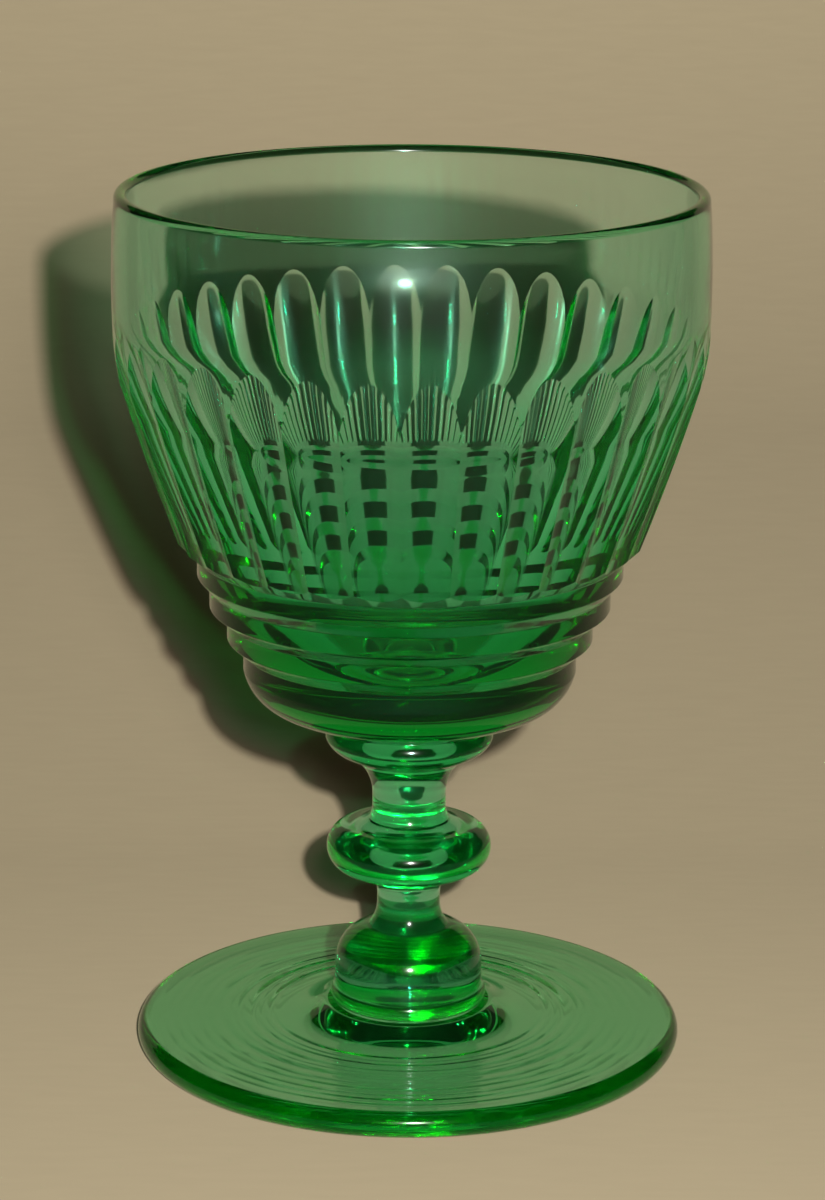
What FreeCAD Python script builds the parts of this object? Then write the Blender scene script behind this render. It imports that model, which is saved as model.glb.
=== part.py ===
import FreeCAD, Part
import math
import os
import re

import Sketcher

# Cut-glass rummer: a deep fluted bowl on a short knopped stem and a wide round foot.
# Each piece of glass was gathered and shaped by itself and fused to the one below it, so each is
# a body of its own, turned about the Z axis.  The pieces stand on each other from the foot up.
# Everything is in millimetres.  The origin is the middle of the foot, on the table; +Z is up.

SIZES = {
    # foot: a thick flat disc that rests on a ring, hollowed a little in the middle
    "foot_radius": 41.0,
    "foot_edge_thickness": 4.0,
    "foot_edge_middle": 2.1,
    "foot_rest_inner_radius": 27.0,
    "foot_hollow_depth": 1.2,
    "foot_web_run": 6.4,
    "foot_web_thickness": 4.5,
    "foot_hub_margin": 1.5,
    "foot_hub_height": 6.2,
    # foot collar: a ring of paler glass between the foot and the dome
    "foot_collar_height": 2.8,
    "foot_collar_swell": 0.6,
    # base dome
    "dome_radius": 11.1,
    "dome_wall_height": 3.2,
    "dome_height": 9.3,
    "dome_top_radius": 6.0,
    # lower shank: drawn in between the dome and the knop
    "lower_shank_height": 7.3,
    "lower_shank_radius": 4.75,
    "lower_waist_bottom": 3.4,
    "lower_waist_top": 5.2,
    "lower_neck_radius": 5.6,
    # stem knop: a flattened ball
    "knop_radius": 12.35,
    "knop_neck_rise": 1.5,
    "knop_under_round": 3.6,
    "knop_over_round": 3.4,
    "knop_height": 9.6,
    "upper_neck_radius": 6.0,
    # upper shank: spreads under the bowl collar
    "upper_shank_height": 10.1,
    "upper_shank_radius": 5.5,
    "upper_waist_bottom": 2.0,
    "upper_waist_top": 3.8,
    "upper_shank_top_radius": 9.4,
    # bowl collar: a rounded disc that the bowl sits on
    "bowl_collar_radius": 12.5,
    "bowl_collar_height": 4.6,
    "bowl_collar_edge_height": 2.5,
    "bowl_collar_under_round": 4.0,
    "bowl_collar_over_round": 3.0,
    "bowl_seat_radius": 11.8,
    # bowl, outside, heights above its seat
    "bowl_height": 80.1,
    "rim_radius": 42.9,
    "rim_wall": 2.0,
    "shoulder_radius": 43.2,
    "shoulder_height": 58.1,
    "band_radius": 41.25,
    "band_height": 48.3,
    "band_foot_radius": 34.3,
    "band_foot_height": 28.6,
    "barrel_sweep": 180.0,
    "shoulder_sweep": 38.0,
    "band_sweep": 400.0,
    # four cut steps under the flutes, the lowest one being the base
    "step_1_radius": 31.45,
    "step_2_radius": 29.65,
    "step_3_radius": 27.1,
    "step_4_radius": 24.7,
    "step_top_height": 26.3,
    "step_pitch": 4.9,
    "step_land": 2.9,
    "base_round": 7.5,
    "base_under_radius": 18.6,
    "base_under_height": 2.7,
    "base_under_sweep": 25.0,
    # bowl, inside: thin at the rim, then drawn in to a round well in the thick base
    "inner_barrel_sweep": 178.0,
    "shoulder_wall": 2.1,
    "shoulder_wall_height": 61.1,
    "inner_shoulder_sweep": 30.0,
    "band_wall": 4.65,
    "inner_band_sweep": 160.0,
    "band_foot_wall": 8.1,
    "well_radius": 14.4,
    "well_height": 14.9,
    "well_sweep": 63.0,
    "bowl_floor_thickness": 8.9,
    # flutes: cut side by side round the bowl with a wheel of rounded section
    "flute_count": 32,
    "flute_turn": 3.65,
    "flute_top_height": 60.3,
    "flute_depth": 0.91,
    "flute_section_radius": 9.0,
    "flute_sweep": 340.0,
    "flute_run_out": 4.5,
}

# Height of each piece, from the table up.  A piece stands on all those before it.
STACK = [
    ("foot", "foot_hub_height"),
    ("foot_collar", "foot_collar_height"),
    ("base_dome", "dome_height"),
    ("lower_shank", "lower_shank_height"),
    ("stem_knop", "knop_height"),
    ("upper_shank", "upper_shank_height"),
    ("bowl_collar", "bowl_collar_height"),
    ("bowl", "bowl_height"),
]
STEP_COUNT = 4
SHEET_NAME = "Sizes"
ORIGIN_POINT = (-1, 1)
RADIUS_AXIS = -1
TURNING_AXIS = -2


def in_sheet(formula):
    """The formula, with the name of every size pointed at the sheet."""
    def point(match):
        word = match.group(0)
        return f"{SHEET_NAME}.{word}" if word in SIZES else word
    return re.sub(r"[a-z][a-z0-9_]*", point, formula)


def write_sheet(doc):
    """Put every size in the sheet, beside its name."""
    sheet = doc.addObject("Spreadsheet::Sheet", SHEET_NAME)
    for row, (name, size) in enumerate(SIZES.items(), start=1):
        sheet.set(f"A{row}", name)
        sheet.set(f"B{row}", str(size))
        sheet.setAlias(f"B{row}", name)
    doc.recompute()
    return sheet


def number(owner, formula):
    """What the formula comes to now."""
    found = owner.evalExpression(in_sheet(formula))
    return float(getattr(found, "Value", found))


def origin_feature(body, role):
    """One of the body's own planes or axes."""
    return next(item for item in body.Origin.OriginFeatures if item.Role == role)


def bind(sketch, kind, places, formula, name):
    """Add a constraint whose value is a formula of the sheet."""
    index = sketch.addConstraint(Sketcher.Constraint(kind, *places, number(sketch, formula)))
    sketch.renameConstraint(index, name)
    sketch.setExpression(f"Constraints.{name}", in_sheet(formula))


# How the outline goes on from a corner to the next one.
def swell(radius):
    """A round edge that bulges out of the glass."""
    return ("swell", radius)


def hollow(radius):
    """A round edge that curves into the glass."""
    return ("hollow", radius)


def tangent_radius(along, across):
    """Radius of an arc that leaves along one direction and has moved across it at its end."""
    return f"(({along})^2 + ({across})^2) / (2 * abs({across}))"


def round_edge(start, end, bulge, radius):
    """An arc of the given radius between two points; a sketch stores it anticlockwise."""
    first, last = (start, end) if bulge == "swell" else (end, start)
    chord = last - first
    middle = (first + last) / 2
    inward = FreeCAD.Vector(-chord.y, chord.x, 0).normalize()
    centre = middle + inward * math.sqrt(radius ** 2 - chord.Length ** 2 / 4)
    angles = [math.atan2(point.y - centre.y, point.x - centre.x) for point in (first, last)]
    circle = Part.Circle(centre, FreeCAD.Vector(0, 0, 1), radius)
    return Part.ArcOfCircle(circle, *angles)


def draw_outline(sketch, corners):
    """Draw a closed half section, anticlockwise from the turning axis.

    Each corner is (radius, height, edge that leaves it), the edge being None when it is straight.
    """
    points = [FreeCAD.Vector(number(sketch, r), number(sketch, z), 0) for r, z, _ in corners]
    places = []
    for index, (_, _, edge) in enumerate(corners):
        start, end = points[index], points[(index + 1) % len(points)]
        if edge is None:
            geometry = sketch.addGeometry(Part.LineSegment(start, end))
        else:
            geometry = sketch.addGeometry(round_edge(start, end, edge[0], number(sketch, edge[1])))
            bind(sketch, "Radius", (geometry,), edge[1], f"curve_{index}")
        backwards = edge is not None and edge[0] == "hollow"
        places.append(((geometry, 2), (geometry, 1)) if backwards else ((geometry, 1), (geometry, 2)))
    for index, (radius, height, _) in enumerate(corners):
        here = places[index][0]
        sketch.addConstraint(Sketcher.Constraint("Coincident", *places[index - 1][1], *here))
        if radius == "0":
            sketch.addConstraint(Sketcher.Constraint("PointOnObject", *here, TURNING_AXIS))
        else:
            bind(sketch, "DistanceX", (*ORIGIN_POINT, *here), radius, f"radius_{index}")
        if height == "0":
            sketch.addConstraint(Sketcher.Constraint("PointOnObject", *here, RADIUS_AXIS))
        else:
            bind(sketch, "DistanceY", (*ORIGIN_POINT, *here), height, f"height_{index}")


def turned_body(doc, label, corners):
    """A body turned about Z from the half section that the corners describe."""
    body = doc.addObject("PartDesign::Body", label)
    body.Label = label
    sketch = body.newObject("Sketcher::SketchObject", f"{label}_section")
    sketch.AttachmentSupport = [(origin_feature(body, "XZ_Plane"), "")]
    sketch.MapMode = "FlatFace"
    doc.recompute()
    draw_outline(sketch, corners)
    turning = body.newObject("PartDesign::Revolution", f"{label}_turning")
    turning.Profile = sketch
    turning.ReferenceAxis = (sketch, ["V_Axis"])
    turning.Angle = 360
    body.Tip = turning
    doc.recompute()
    return body


def make_foot(doc):
    """The foot: flat ring underneath, rounded edge, and a raised hub wider than the collar."""
    edge_low = "foot_edge_middle"
    edge_high = "(foot_edge_thickness - foot_edge_middle)"
    hub_edge = "(dome_radius + foot_hub_margin)"
    hub_foot = tangent_radius("foot_web_run", "foot_hub_height - foot_web_thickness")
    hollow_curve = tangent_radius("foot_rest_inner_radius", "foot_hollow_depth")
    return turned_body(doc, "foot", [
        ("0", "foot_hollow_depth", hollow(hollow_curve)),
        ("foot_rest_inner_radius", "0", None),
        (f"foot_radius - {edge_low}", "0", swell(edge_low)),
        ("foot_radius", "foot_edge_middle", swell(edge_high)),
        (f"foot_radius - {edge_high}", "foot_edge_thickness", None),
        (f"{hub_edge} + foot_web_run", "foot_web_thickness", hollow(hub_foot)),
        (hub_edge, "foot_hub_height", None),
        ("0", "foot_hub_height", None),
    ])


def make_foot_collar(doc):
    """The pale ring, as wide as the dome where it meets it and swelling out between."""
    middle = "foot_collar_height / 2"
    bulge = tangent_radius(middle, "foot_collar_swell")
    return turned_body(doc, "foot_collar", [
        ("0", "0", None),
        ("dome_radius", "0", swell(bulge)),
        ("dome_radius + foot_collar_swell", middle, swell(bulge)),
        ("dome_radius", "foot_collar_height", None),
        ("0", "foot_collar_height", None),
    ])


def make_base_dome(doc):
    """The dome: a short upright wall, then a round shoulder."""
    shoulder = tangent_radius("dome_height - dome_wall_height", "dome_radius - dome_top_radius")
    return turned_body(doc, "base_dome", [
        ("0", "0", None),
        ("dome_radius", "0", None),
        ("dome_radius", "dome_wall_height", swell(shoulder)),
        ("dome_top_radius", "dome_height", None),
        ("0", "dome_height", None),
    ])


def make_lower_shank(doc):
    """The lower shank: a short waist that spreads to the dome and to the knop."""
    below = tangent_radius("lower_waist_bottom", "dome_top_radius - lower_shank_radius")
    above = tangent_radius("lower_shank_height - lower_waist_top", "lower_neck_radius - lower_shank_radius")
    return turned_body(doc, "lower_shank", [
        ("0", "0", None),
        ("dome_top_radius", "0", hollow(below)),
        ("lower_shank_radius", "lower_waist_bottom", None),
        ("lower_shank_radius", "lower_waist_top", hollow(above)),
        ("lower_neck_radius", "lower_shank_height", None),
        ("0", "lower_shank_height", None),
    ])


def make_stem_knop(doc):
    """The knop: two round quarters edge to edge, with a small neck above and below."""
    under = "knop_radius - knop_under_round"
    over = "knop_radius - knop_over_round"
    crest = "knop_neck_rise + knop_under_round + knop_over_round"
    neck_below = tangent_radius(f"{under} - lower_neck_radius", "knop_neck_rise")
    neck_above = tangent_radius(f"{over} - upper_neck_radius", f"knop_height - ({crest})")
    return turned_body(doc, "stem_knop", [
        ("0", "0", None),
        ("lower_neck_radius", "0", hollow(neck_below)),
        (under, "knop_neck_rise", swell("knop_under_round")),
        ("knop_radius", "knop_neck_rise + knop_under_round", swell("knop_over_round")),
        (over, crest, hollow(neck_above)),
        ("upper_neck_radius", "knop_height", None),
        ("0", "knop_height", None),
    ])


def make_upper_shank(doc):
    """The upper shank: a waist that spreads up into the bowl collar."""
    below = tangent_radius("upper_waist_bottom", "upper_neck_radius - upper_shank_radius")
    above = tangent_radius("upper_shank_height - upper_waist_top", "upper_shank_top_radius - upper_shank_radius")
    return turned_body(doc, "upper_shank", [
        ("0", "0", None),
        ("upper_neck_radius", "0", hollow(below)),
        ("upper_shank_radius", "upper_waist_bottom", None),
        ("upper_shank_radius", "upper_waist_top", hollow(above)),
        ("upper_shank_top_radius", "upper_shank_height", None),
        ("0", "upper_shank_height", None),
    ])


def make_bowl_collar(doc):
    """The bowl collar: a flattened ring between the shank and the bowl."""
    return turned_body(doc, "bowl_collar", [
        ("0", "0", None),
        ("upper_shank_top_radius", "0", swell("bowl_collar_under_round")),
        ("bowl_collar_radius", "bowl_collar_edge_height", swell("bowl_collar_over_round")),
        ("bowl_seat_radius", "bowl_collar_height", None),
        ("0", "bowl_collar_height", None),
    ])


def step_corners():
    """Corners of the four cut steps, from the lowest land up."""
    corners = []
    for step in range(STEP_COUNT, 0, -1):
        top = f"step_top_height - {step - 1} * step_pitch"
        corners.append((f"step_{step}_radius", f"{top} - step_land", None))
        corners.append((f"step_{step}_radius", top, None))
    return corners


def bowl_corners():
    """Half section of the bowl before its flutes are cut."""
    rim_round = "rim_wall / 2"
    rim_turn = f"bowl_height - {rim_round}"
    floor_curve = tangent_radius("well_radius", "well_height - bowl_floor_thickness")
    outside = [
        ("0", "0", None),
        ("bowl_seat_radius", "0", swell("base_under_sweep")),
        ("base_under_radius", "base_under_height", swell("base_round")),
        *step_corners(),
        ("band_foot_radius", "band_foot_height", swell("band_sweep")),
        ("band_radius", "band_height", swell("shoulder_sweep")),
        ("shoulder_radius", "shoulder_height", swell("barrel_sweep")),
    ]
    rim = [
        ("rim_radius", rim_turn, swell(rim_round)),
        (f"rim_radius - {rim_round}", "bowl_height", swell(rim_round)),
    ]
    inside = [
        ("rim_radius - rim_wall", rim_turn, hollow("inner_barrel_sweep")),
        ("shoulder_radius - shoulder_wall", "shoulder_wall_height", hollow("inner_shoulder_sweep")),
        ("band_radius - band_wall", "band_height", hollow("inner_band_sweep")),
        ("band_foot_radius - band_foot_wall", "band_foot_height", hollow("well_sweep")),
        ("well_radius", "well_height", hollow(floor_curve)),
        ("0", "bowl_floor_thickness", None),
    ]
    return outside + rim + inside


def flute_centre():
    """Radius and height of the point that the cutting wheel's path turns about."""
    low = ("band_foot_radius - flute_depth", "band_foot_height")
    high = ("shoulder_radius", "flute_top_height")
    across = f"(({high[0]}) - ({low[0]}))"
    up = f"(({high[1]}) - ({low[1]}))"
    chord = f"sqrt({across}^2 + {up}^2)"
    reach = f"sqrt(flute_sweep^2 - {chord}^2 / 4)"
    radius = f"(({high[0]}) + ({low[0]})) / 2 - {reach} * {up} / {chord}"
    height = f"(({high[1]}) + ({low[1]})) / 2 + {reach} * {across} / {chord}"
    return radius, height


def cut_flutes(doc, body):
    """Cut one flute as a groove along a wide arc, and repeat it round the bowl."""
    before = body.Shape.Volume
    centre_radius, centre_height = flute_centre()
    sketch = body.newObject("Sketcher::SketchObject", "flute_section")
    sketch.AttachmentSupport = [(origin_feature(body, "XY_Plane"), "")]
    sketch.MapMode = "FlatFace"
    sketch.setExpression("AttachmentOffset.Base.x", in_sheet(centre_radius))
    sketch.setExpression("AttachmentOffset.Base.z", in_sheet(centre_height))
    doc.recompute()
    middle = "flute_sweep + flute_section_radius"
    wheel = Part.Circle(
        FreeCAD.Vector(number(sketch, middle), 0, 0),
        FreeCAD.Vector(0, 0, 1),
        number(sketch, "flute_section_radius"),
    )
    sketch.addGeometry(wheel)
    sketch.addConstraint(Sketcher.Constraint("PointOnObject", 0, 3, RADIUS_AXIS))
    bind(sketch, "DistanceX", (*ORIGIN_POINT, 0, 3), middle, "reach")
    bind(sketch, "Radius", (0,), "flute_section_radius", "section")
    flute = body.newObject("PartDesign::Groove", "flute")
    flute.Profile = sketch
    flute.ReferenceAxis = (sketch, ["V_Axis"])
    run_out = "band_foot_height - flute_run_out"
    flute.setExpression("Angle", in_sheet(f"asin((({centre_height}) - ({run_out})) / flute_sweep)"))
    body.Tip = flute
    doc.recompute()
    if not flute.Shape.Volume < before - 1:
        raise ValueError("the first flute cuts nothing")
    flutes = body.newObject("PartDesign::PolarPattern", "flutes")
    flutes.Originals = [flute]
    flutes.Axis = (origin_feature(body, "Z_Axis"), [""])
    flutes.Angle = 360
    flutes.setExpression("Occurrences", in_sheet("flute_count"))
    body.Tip = flutes
    doc.recompute()
    one = before - flute.Shape.Volume
    if not flutes.Shape.Volume < before - one * SIZES["flute_count"] / 2:
        raise ValueError("the flutes were not repeated")


def make_bowl(doc):
    """The bowl, turned and then fluted."""
    body = turned_body(doc, "bowl", bowl_corners())
    cut_flutes(doc, body)
    body.setExpression("Placement.Rotation.Angle", in_sheet("flute_turn"))
    return body


MAKERS = {
    "foot": make_foot,
    "foot_collar": make_foot_collar,
    "base_dome": make_base_dome,
    "lower_shank": make_lower_shank,
    "stem_knop": make_stem_knop,
    "upper_shank": make_upper_shank,
    "bowl_collar": make_bowl_collar,
    "bowl": make_bowl,
}


def build(doc):
    """Make every piece and stand it on the ones below."""
    pieces = []
    below = []
    for label, height in STACK:
        piece = MAKERS[label](doc)
        if below:
            piece.setExpression("Placement.Base.z", in_sheet(" + ".join(below)))
        below.append(height)
        pieces.append(piece)
    return pieces


def check(doc, pieces):
    """Stop if any object failed or any piece is not one whole valid solid."""
    for item in doc.Objects:
        if {"Invalid", "Error"} & set(item.State):
            raise ValueError(f"{item.Name} failed: {item.State}")
    for piece in pieces:
        shape = piece.Shape
        if shape.isNull() or not shape.isValid() or len(shape.Solids) != 1:
            raise ValueError(f"{piece.Label} is not one valid solid")


def main():
    """Build, check and write the pieces."""
    doc = FreeCAD.newDocument("rummer")
    write_sheet(doc)
    pieces = build(doc)
    doc.recompute()
    check(doc, pieces)
    os.makedirs("parts", exist_ok=True)
    for piece in pieces:
        piece.Shape.exportStep(f"parts/{piece.Label}.step")
        box = piece.Shape.BoundBox
        print(f"{piece.Label}: {piece.Shape.Volume:.0f} mm3, z {box.ZMin:.2f} to {box.ZMax:.2f}, "
              f"radius {box.XMax:.2f}")


main()
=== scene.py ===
"""A green cut-glass rummer: a fluted bowl on a short knopped stem and a wide round foot.

Each piece of glass is a closed mesh of its own, turned from its half section.  Where two pieces
are fused, their faces at the joint bend no light, so the stem and bowl read as one body of glass.
"""

import logging
import math
from dataclasses import dataclass, field
from enum import Enum

import bpy
import numpy as np
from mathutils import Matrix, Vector


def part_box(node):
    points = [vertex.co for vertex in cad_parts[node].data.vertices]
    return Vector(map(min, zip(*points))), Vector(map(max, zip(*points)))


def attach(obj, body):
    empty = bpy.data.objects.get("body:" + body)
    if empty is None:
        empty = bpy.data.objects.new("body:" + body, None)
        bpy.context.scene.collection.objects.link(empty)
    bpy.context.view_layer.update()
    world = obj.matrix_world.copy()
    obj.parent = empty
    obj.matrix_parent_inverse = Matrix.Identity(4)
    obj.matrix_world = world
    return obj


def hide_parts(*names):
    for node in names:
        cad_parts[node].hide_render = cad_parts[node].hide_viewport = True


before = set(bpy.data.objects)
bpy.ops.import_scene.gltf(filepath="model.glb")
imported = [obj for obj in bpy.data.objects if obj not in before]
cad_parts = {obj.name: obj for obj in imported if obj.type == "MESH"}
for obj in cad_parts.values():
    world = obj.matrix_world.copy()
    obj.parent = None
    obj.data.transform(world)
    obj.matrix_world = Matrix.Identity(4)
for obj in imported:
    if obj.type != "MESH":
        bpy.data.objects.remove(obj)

LOG = logging.getLogger("rummer")
MM = 0.001
JOINT_GAP = 0.01 * MM
WELD = 0.0005 * MM
JOINT_MARK = "joint"
RIM_MARK = "rim"
WHITE = (1.0, 1.0, 1.0)
ROOT_BODY = "root"


class Bend(Enum):
    """Which way a round edge of a half section goes, seen from the glass."""

    OUT = 1
    IN = -1


class Slot(Enum):
    """Names for two material slots, which no piece takes its finish from."""

    GREEN = "green_glass"
    PALE = "pale_glass"


def tangent_radius(along: float, across: float) -> float:
    """Radius of an arc that leaves along one way and has moved across it at its end.

    Args:
        along: How far it goes along its first direction.
        across: How far it has moved across it by then.

    Returns:
        The radius.
    """
    return (along ** 2 + across ** 2) / (2 * abs(across))


class HalfSection:
    """The half section of a turned piece, from the turning axis round and back to it."""

    ARC_STEP = math.radians(5.0)

    def __init__(self, radius: float, height: float) -> None:
        """Start at a point.

        Args:
            radius: Distance of the first point from the axis.
            height: Height of the first point.
        """
        self.points: list[Vector] = [Vector((radius, height))]
        self.softness: list[float] = [0.0]

    def line(self, radius: float, height: float, soft: float = 0.0, longest: float = 1.0) -> "HalfSection":
        """Go straight to a point.

        Args:
            radius: Distance of the point from the axis.
            height: Height of the point.
            soft: How far the corner at that point is rounded away.
            longest: Longest stretch with no point on it.

        Returns:
            This half section.
        """
        start, end = self.points[-1].copy(), Vector((radius, height))
        pieces = max(1, math.ceil((end - start).length / longest))
        for step in range(1, pieces + 1):
            self.points.append(start.lerp(end, step / pieces))
            self.softness.append(0.0)
        self.softness[-1] = soft
        return self

    def arc(self, radius: float, height: float, bend: Bend, curve: float, soft: float = 0.0,
            longest: float = 1.0) -> "HalfSection":
        """Go to a point along a round edge.

        Args:
            radius: Distance of the point from the axis.
            height: Height of the point.
            bend: Whether the edge bulges out of the glass or curves into it.
            curve: Radius of the edge.
            soft: How far the corner at that point is rounded away.
            longest: Longest stretch with no point on it.

        Returns:
            This half section.
        """
        start, end = self.points[-1].copy(), Vector((radius, height))
        chord = end - start
        reach = math.sqrt(max(curve ** 2 - chord.length_squared / 4, 0.0))
        inward = Vector((-chord.y, chord.x)).normalized() * bend.value
        centre = (start + end) / 2 + inward * reach
        first, last = start - centre, end - centre
        turn = math.remainder(math.atan2(last.y, last.x) - math.atan2(first.y, first.x), math.tau)
        pieces = max(2, math.ceil(abs(turn) / self.ARC_STEP), math.ceil(abs(turn) * curve / longest))
        for step in range(1, pieces + 1):
            angle = turn * step / pieces
            spoke = Vector((
                first.x * math.cos(angle) - first.y * math.sin(angle),
                first.x * math.sin(angle) + first.y * math.cos(angle),
            ))
            self.points.append(centre + spoke)
            self.softness.append(0.0)
        self.points[-1] = end
        self.softness[-1] = soft
        return self

    def finished(self) -> list[Vector]:
        """Round the soft corners.

        Returns:
            The points of the half section.
        """
        found = []
        for index, point in enumerate(self.points):
            soft = self.softness[index]
            if soft == 0 or index in (0, len(self.points) - 1):
                found.append(point)
                continue
            before, after = self.points[index - 1], self.points[index + 1]
            start = point + (before - point).normalized() * min(soft, 0.45 * (before - point).length)
            end = point + (after - point).normalized() * min(soft, 0.45 * (after - point).length)
            for share in (0.0, 0.25, 0.5, 0.75, 1.0):
                found.append(start.lerp(point, share).lerp(point.lerp(end, share), share))
        return found


def deselect_all() -> None:
    """Leave nothing selected and no object in edit mode."""
    if bpy.context.object and bpy.context.object.mode != "OBJECT":
        bpy.ops.object.mode_set(mode="OBJECT")
    bpy.ops.object.select_all(action="DESELECT")


def turned(name: str, section: HalfSection, steps: int) -> bpy.types.Object:
    """Turn a half section about the Z axis into a closed mesh.

    Args:
        name: Name of the piece.
        section: Its half section, in the frame's own place.
        steps: Number of flats round the axis.

    Returns:
        The piece, at the origin, unturned.
    """
    deselect_all()
    bpy.ops.curve.primitive_bezier_curve_add(location=(0, 0, 0))
    wire = bpy.context.object
    wire.name = name
    points = section.finished()
    wire.data.splines.clear()
    spline = wire.data.splines.new("POLY")
    spline.points.add(len(points) - 1)
    for knot, point in zip(spline.points, points):
        knot.co = (point.x, 0.0, point.y, 1.0)
    bpy.ops.object.modifier_add(type="SCREW")
    turning = wire.modifiers[-1]
    turning.angle = math.tau
    turning.axis = "Z"
    turning.steps = turning.render_steps = steps
    turning.use_merge_vertices = True
    turning.merge_threshold = WELD
    bpy.ops.object.convert(target="MESH")
    piece = bpy.context.object
    piece.data.name = name
    bpy.ops.object.mode_set(mode="EDIT")
    bpy.ops.mesh.select_all(action="SELECT")
    bpy.ops.mesh.remove_doubles(threshold=WELD)
    bpy.ops.mesh.normals_make_consistent(inside=False)
    bpy.ops.object.mode_set(mode="OBJECT")
    return piece


def face_heights(mesh: bpy.types.Mesh) -> np.ndarray:
    """Find the height of the middle of each face.

    Args:
        mesh: The mesh.

    Returns:
        The heights.
    """
    middles = np.empty(len(mesh.polygons) * 3)
    mesh.polygons.foreach_get("center", middles)
    return middles[2::3]


def mark_faces(mesh: bpy.types.Mesh, name: str, chosen: np.ndarray) -> None:
    """Write a mark of 1 on the chosen faces and 0 on the rest, for the glass to read.

    Args:
        mesh: The mesh.
        name: Name of the mark.
        chosen: True for each face that is marked.
    """
    mark = mesh.attributes.new(name, "FLOAT", "FACE")
    mark.data.foreach_set("value", chosen.astype(np.float32))


def mark_joints(piece: bpy.types.Object, heights: list[float]) -> None:
    """Mark the level faces at the given heights, where the piece is fused to another.

    Args:
        piece: The piece of glass.
        heights: Heights of its joint faces.
    """
    mesh = piece.data
    normals = np.empty(len(mesh.polygons) * 3)
    mesh.polygons.foreach_get("normal", normals)
    level = np.abs(normals[2::3]) > 0.9999
    found = face_heights(mesh)
    here = np.zeros(len(level), dtype=bool)
    for height in heights:
        here |= np.abs(found - height) < 0.1 * MM
    mark_faces(mesh, JOINT_MARK, level & here)


def mark_rim(piece: bpy.types.Object, height: float) -> None:
    """Mark the faces above a height: the rim, which takes a painted green tint standing in for the light that
    the fire-polished rim guides.

    Args:
        piece: The piece of glass.
        height: Height of the lower edge of its rim.
    """
    mark_faces(piece.data, RIM_MARK, face_heights(piece.data) > height)


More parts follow.
